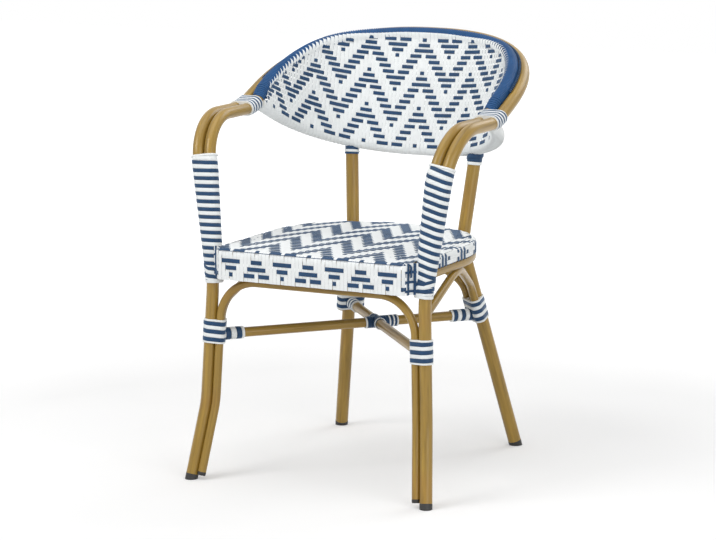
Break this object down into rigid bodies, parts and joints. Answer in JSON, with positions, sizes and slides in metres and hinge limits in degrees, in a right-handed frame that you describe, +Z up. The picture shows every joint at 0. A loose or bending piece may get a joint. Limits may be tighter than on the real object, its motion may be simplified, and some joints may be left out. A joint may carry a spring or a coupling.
{
  "type": "rattan bistro chair",
  "caption": "Stacking bistro armchair of bamboo-painted bent tube with a woven blue and white zigzag seat and back, bound joints and crossed stretchers.",
  "frame": {"origin": "on the floor under the middle of the chair", "axes": "+Z up, +X to the sitter's left as seen from the front, +Y to the back"},
  "size_m": [0.5806, 0.5743, 0.8356],
  "materials": {
    "bamboo_paint": "semi-gloss bamboo paint with lengthwise streaks",
    "blue_strand": "smooth satin plastic strand",
    "white_strand": "smooth satin plastic strand",
    "weave": "woven blue and white plastic strand",
    "black_plastic": "matte black"
  },
  "bodies": {
    "root": {"outer_hoop": "bamboo_paint", "inner_hoop": "bamboo_paint", "back_lower_rail": "bamboo_paint", "seat_frame": "bamboo_paint", "seat_rail": "bamboo_paint", "front_frame": "bamboo_paint", "seat_cross_bar": "bamboo_paint", "front_arch": "bamboo_paint", "rear_arch": "bamboo_paint", "stretcher_whole": "bamboo_paint", "stretcher_front_half": "bamboo_paint", "stretcher_rear_half": "bamboo_paint", "rear_leg_right": "bamboo_paint", "rear_leg_left": "bamboo_paint", "side_arch_right": "bamboo_paint", "side_arch_left": "bamboo_paint", "back_rim_wrap": "blue_strand", "cross_wrap": "blue_strand", "rear_leg_collar_right": "blue_strand", "rear_leg_collar_left": "blue_strand", "arm_wrap_blue_right": "blue_strand", "arm_wrap_blue_left": "blue_strand", "back_joint_strand_right": "blue_strand", "back_joint_strand_left": "blue_strand", "front_leg_joint_strand_right": "blue_strand", "front_leg_joint_strand_left": "blue_strand", "rear_leg_joint_strand_right": "blue_strand", "rear_leg_joint_strand_left": "blue_strand", "front_sleeve_strand_right": "blue_strand", "front_sleeve_strand_left": "blue_strand", "rear_sleeve_strand_right": "blue_strand", "rear_sleeve_strand_left": "blue_strand", "back_edge_roll": "white_strand", "arm_wrap_white_right": "white_strand", "arm_wrap_white_left": "white_strand", "back_joint_base_right": "white_strand", "back_joint_base_left": "white_strand", "front_leg_joint_base_right": "white_strand", "front_leg_joint_base_left": "white_strand", "rear_leg_joint_base_right": "white_strand", "rear_leg_joint_base_left": "white_strand", "front_sleeve_base_right": "white_strand", "front_sleeve_base_left": "white_strand", "rear_sleeve_base_right": "white_strand", "rear_sleeve_base_left": "white_strand", "back_panel": "weave", "seat_weave": "weave", "front_glide_right": "black_plastic", "front_glide_left": "black_plastic", "rear_glide_right": "black_plastic", "rear_glide_left": "black_plastic", "arch_cap_right": "black_plastic", "arch_cap_left": "black_plastic"}
  },
  "joints": []
}
